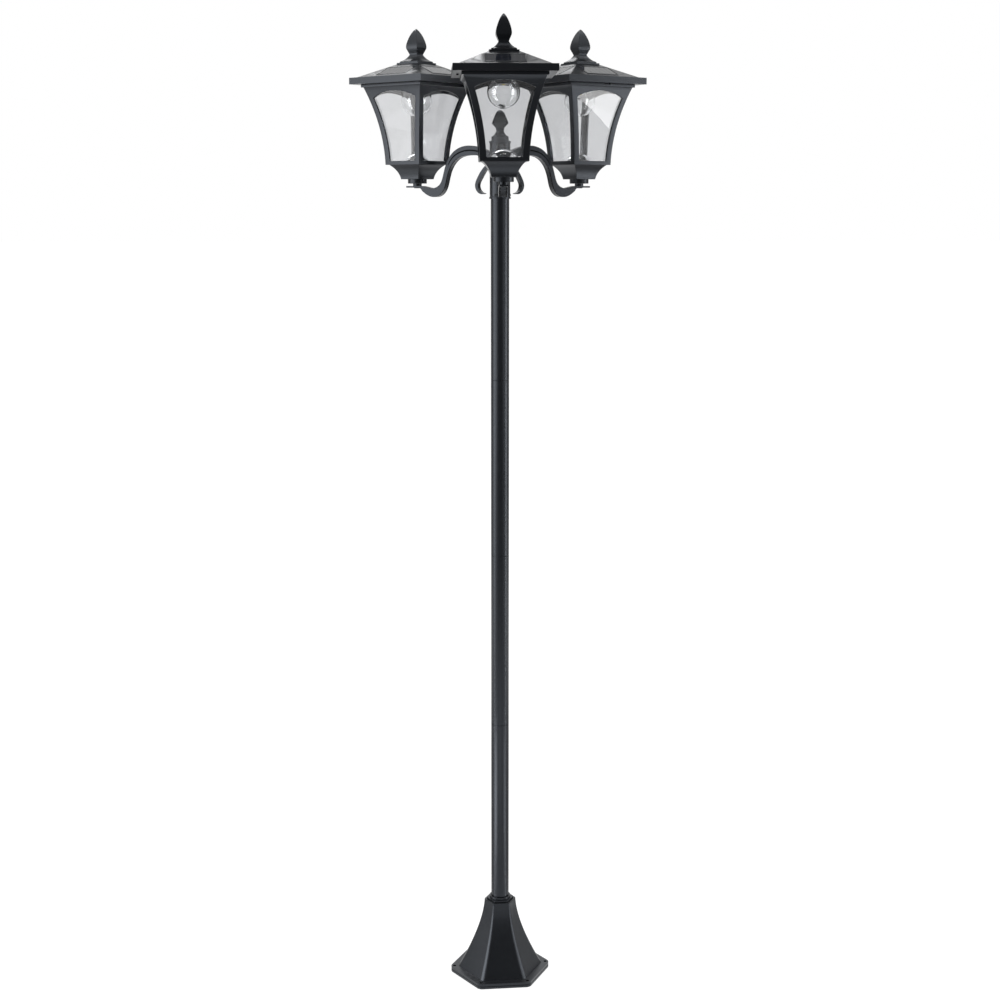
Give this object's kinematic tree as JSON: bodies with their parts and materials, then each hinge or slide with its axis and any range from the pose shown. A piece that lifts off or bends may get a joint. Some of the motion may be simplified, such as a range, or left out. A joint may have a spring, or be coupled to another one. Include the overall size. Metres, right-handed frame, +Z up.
{
  "type": "triple head lamp post",
  "caption": "Garden lamp post on a bolted hexagonal foot, with a jointed round post and scrolled arms that each carry a square solar lantern.",
  "frame": {"origin": "centre of the foot's underside, on the post's axis", "axes": "+Z up along the post, the front arm and its lantern along -Y, +X to the right seen from the front"},
  "size_m": [0.5545, 0.4808, 1.834],
  "materials": {
    "black_paint": "semi-gloss black paint on metal",
    "black_plastic": "smooth black moulded plastic",
    "bare_steel": "zinc plated steel",
    "clear_pane": "clear flat pane",
    "clear_globe": "clear moulded globe",
    "solar_blue": "dark cells under a clear gloss face",
    "mirror_dome": "polished reflector",
    "led_yellow": "phosphor on a white board",
    "battery_wrap": "plastic sleeve"
  },
  "bodies": {
    "post": {"base_plate": "black_paint", "base_cover": "black_paint", "post_socket": "bare_steel", "post_tube_1": "black_paint", "post_tube_2": "black_paint", "post_tube_3": "black_paint", "post_tube_4": "black_paint", "tube_sleeves": "bare_steel"},
    "head": {"hub": "black_paint", "hub_finial": "black_paint", "hub_screws": "bare_steel", "front_arm": "black_paint", "right_arm": "black_paint", "left_arm": "black_paint"},
    "front_lantern": {"front_stem": "black_paint", "front_base_cup": "black_plastic", "front_frame": "black_plastic", "front_panes": "clear_pane", "front_reflector": "mirror_dome"},
    "front_top": {"front_roof": "black_plastic", "front_solar_cells": "solar_blue", "front_finial": "black_plastic", "front_tray": "black_plastic", "front_battery": "battery_wrap", "front_roof_screws": "bare_steel", "front_bulb_holder": "black_plastic", "front_led": "led_yellow", "front_bulb": "clear_globe"},
    "front_switch": {"front_switch": "bare_steel"},
    "right_lantern": {"right_stem": "black_paint", "right_base_cup": "black_plastic", "right_frame": "black_plastic", "right_panes": "clear_pane", "right_reflector": "mirror_dome"},
    "right_top": {"right_roof": "black_plastic", "right_solar_cells": "solar_blue", "right_finial": "black_plastic", "right_tray": "black_plastic", "right_battery": "battery_wrap", "right_roof_screws": "bare_steel", "right_bulb_holder": "black_plastic", "right_led": "led_yellow", "right_bulb": "clear_globe"},
    "right_switch": {"right_switch": "bare_steel"},
    "left_lantern": {"left_stem": "black_paint", "left_base_cup": "black_plastic", "left_frame": "black_plastic", "left_panes": "clear_pane", "left_reflector": "mirror_dome"},
    "left_top": {"left_roof": "black_plastic", "left_solar_cells": "solar_blue", "left_finial": "black_plastic", "left_tray": "black_plastic", "left_battery": "battery_wrap", "left_roof_screws": "bare_steel", "left_bulb_holder": "black_plastic", "left_led": "led_yellow", "left_bulb": "clear_globe"},
    "left_switch": {"left_switch": "bare_steel"}
  },
  "joints": [
    {"name": "head_turn", "type": "hinge", "parent": "post", "child": "head", "pos_m": [0, 0, 1.56], "axis": [0, 0, 1], "continuous": true},
    {"name": "front_turn", "type": "hinge", "parent": "head", "child": "front_lantern", "pos_m": [0, -0.177, 1.5595], "axis": [0, 0, 1], "continuous": true},
    {"name": "front_roof_lift", "type": "slide", "parent": "front_lantern", "child": "front_top", "axis": [0, 0, 1], "range_m": [0, 0.12]},
    {"name": "front_switch_slide", "type": "slide", "parent": "front_top", "child": "front_switch", "axis": [-0.0087, 1, 0], "range_m": [0, 0.004]},
    {"name": "right_turn", "type": "hinge", "parent": "head", "child": "right_lantern", "pos_m": [0.15329, 0.0885, 1.5595], "axis": [0, 0, 1], "continuous": true},
    {"name": "right_roof_lift", "type": "slide", "parent": "right_lantern", "child": "right_top", "axis": [0, 0, 1], "range_m": [0, 0.12]},
    {"name": "right_switch_slide", "type": "slide", "parent": "right_top", "child": "right_switch", "axis": [-0.8517, -0.524, 0], "range_m": [0, 0.004]},
    {"name": "left_turn", "type": "hinge", "parent": "head", "child": "left_lantern", "pos_m": [-0.15329, 0.0885, 1.5595], "axis": [0, 0, 1], "continuous": true},
    {"name": "left_roof_lift", "type": "slide", "parent": "left_lantern", "child": "left_top", "axis": [0, 0, 1], "range_m": [0, 0.12]},
    {"name": "left_switch_slide", "type": "slide", "parent": "left_top", "child": "left_switch", "axis": [0.7581, -0.6521, 0], "range_m": [0, 0.004]}
  ]
}
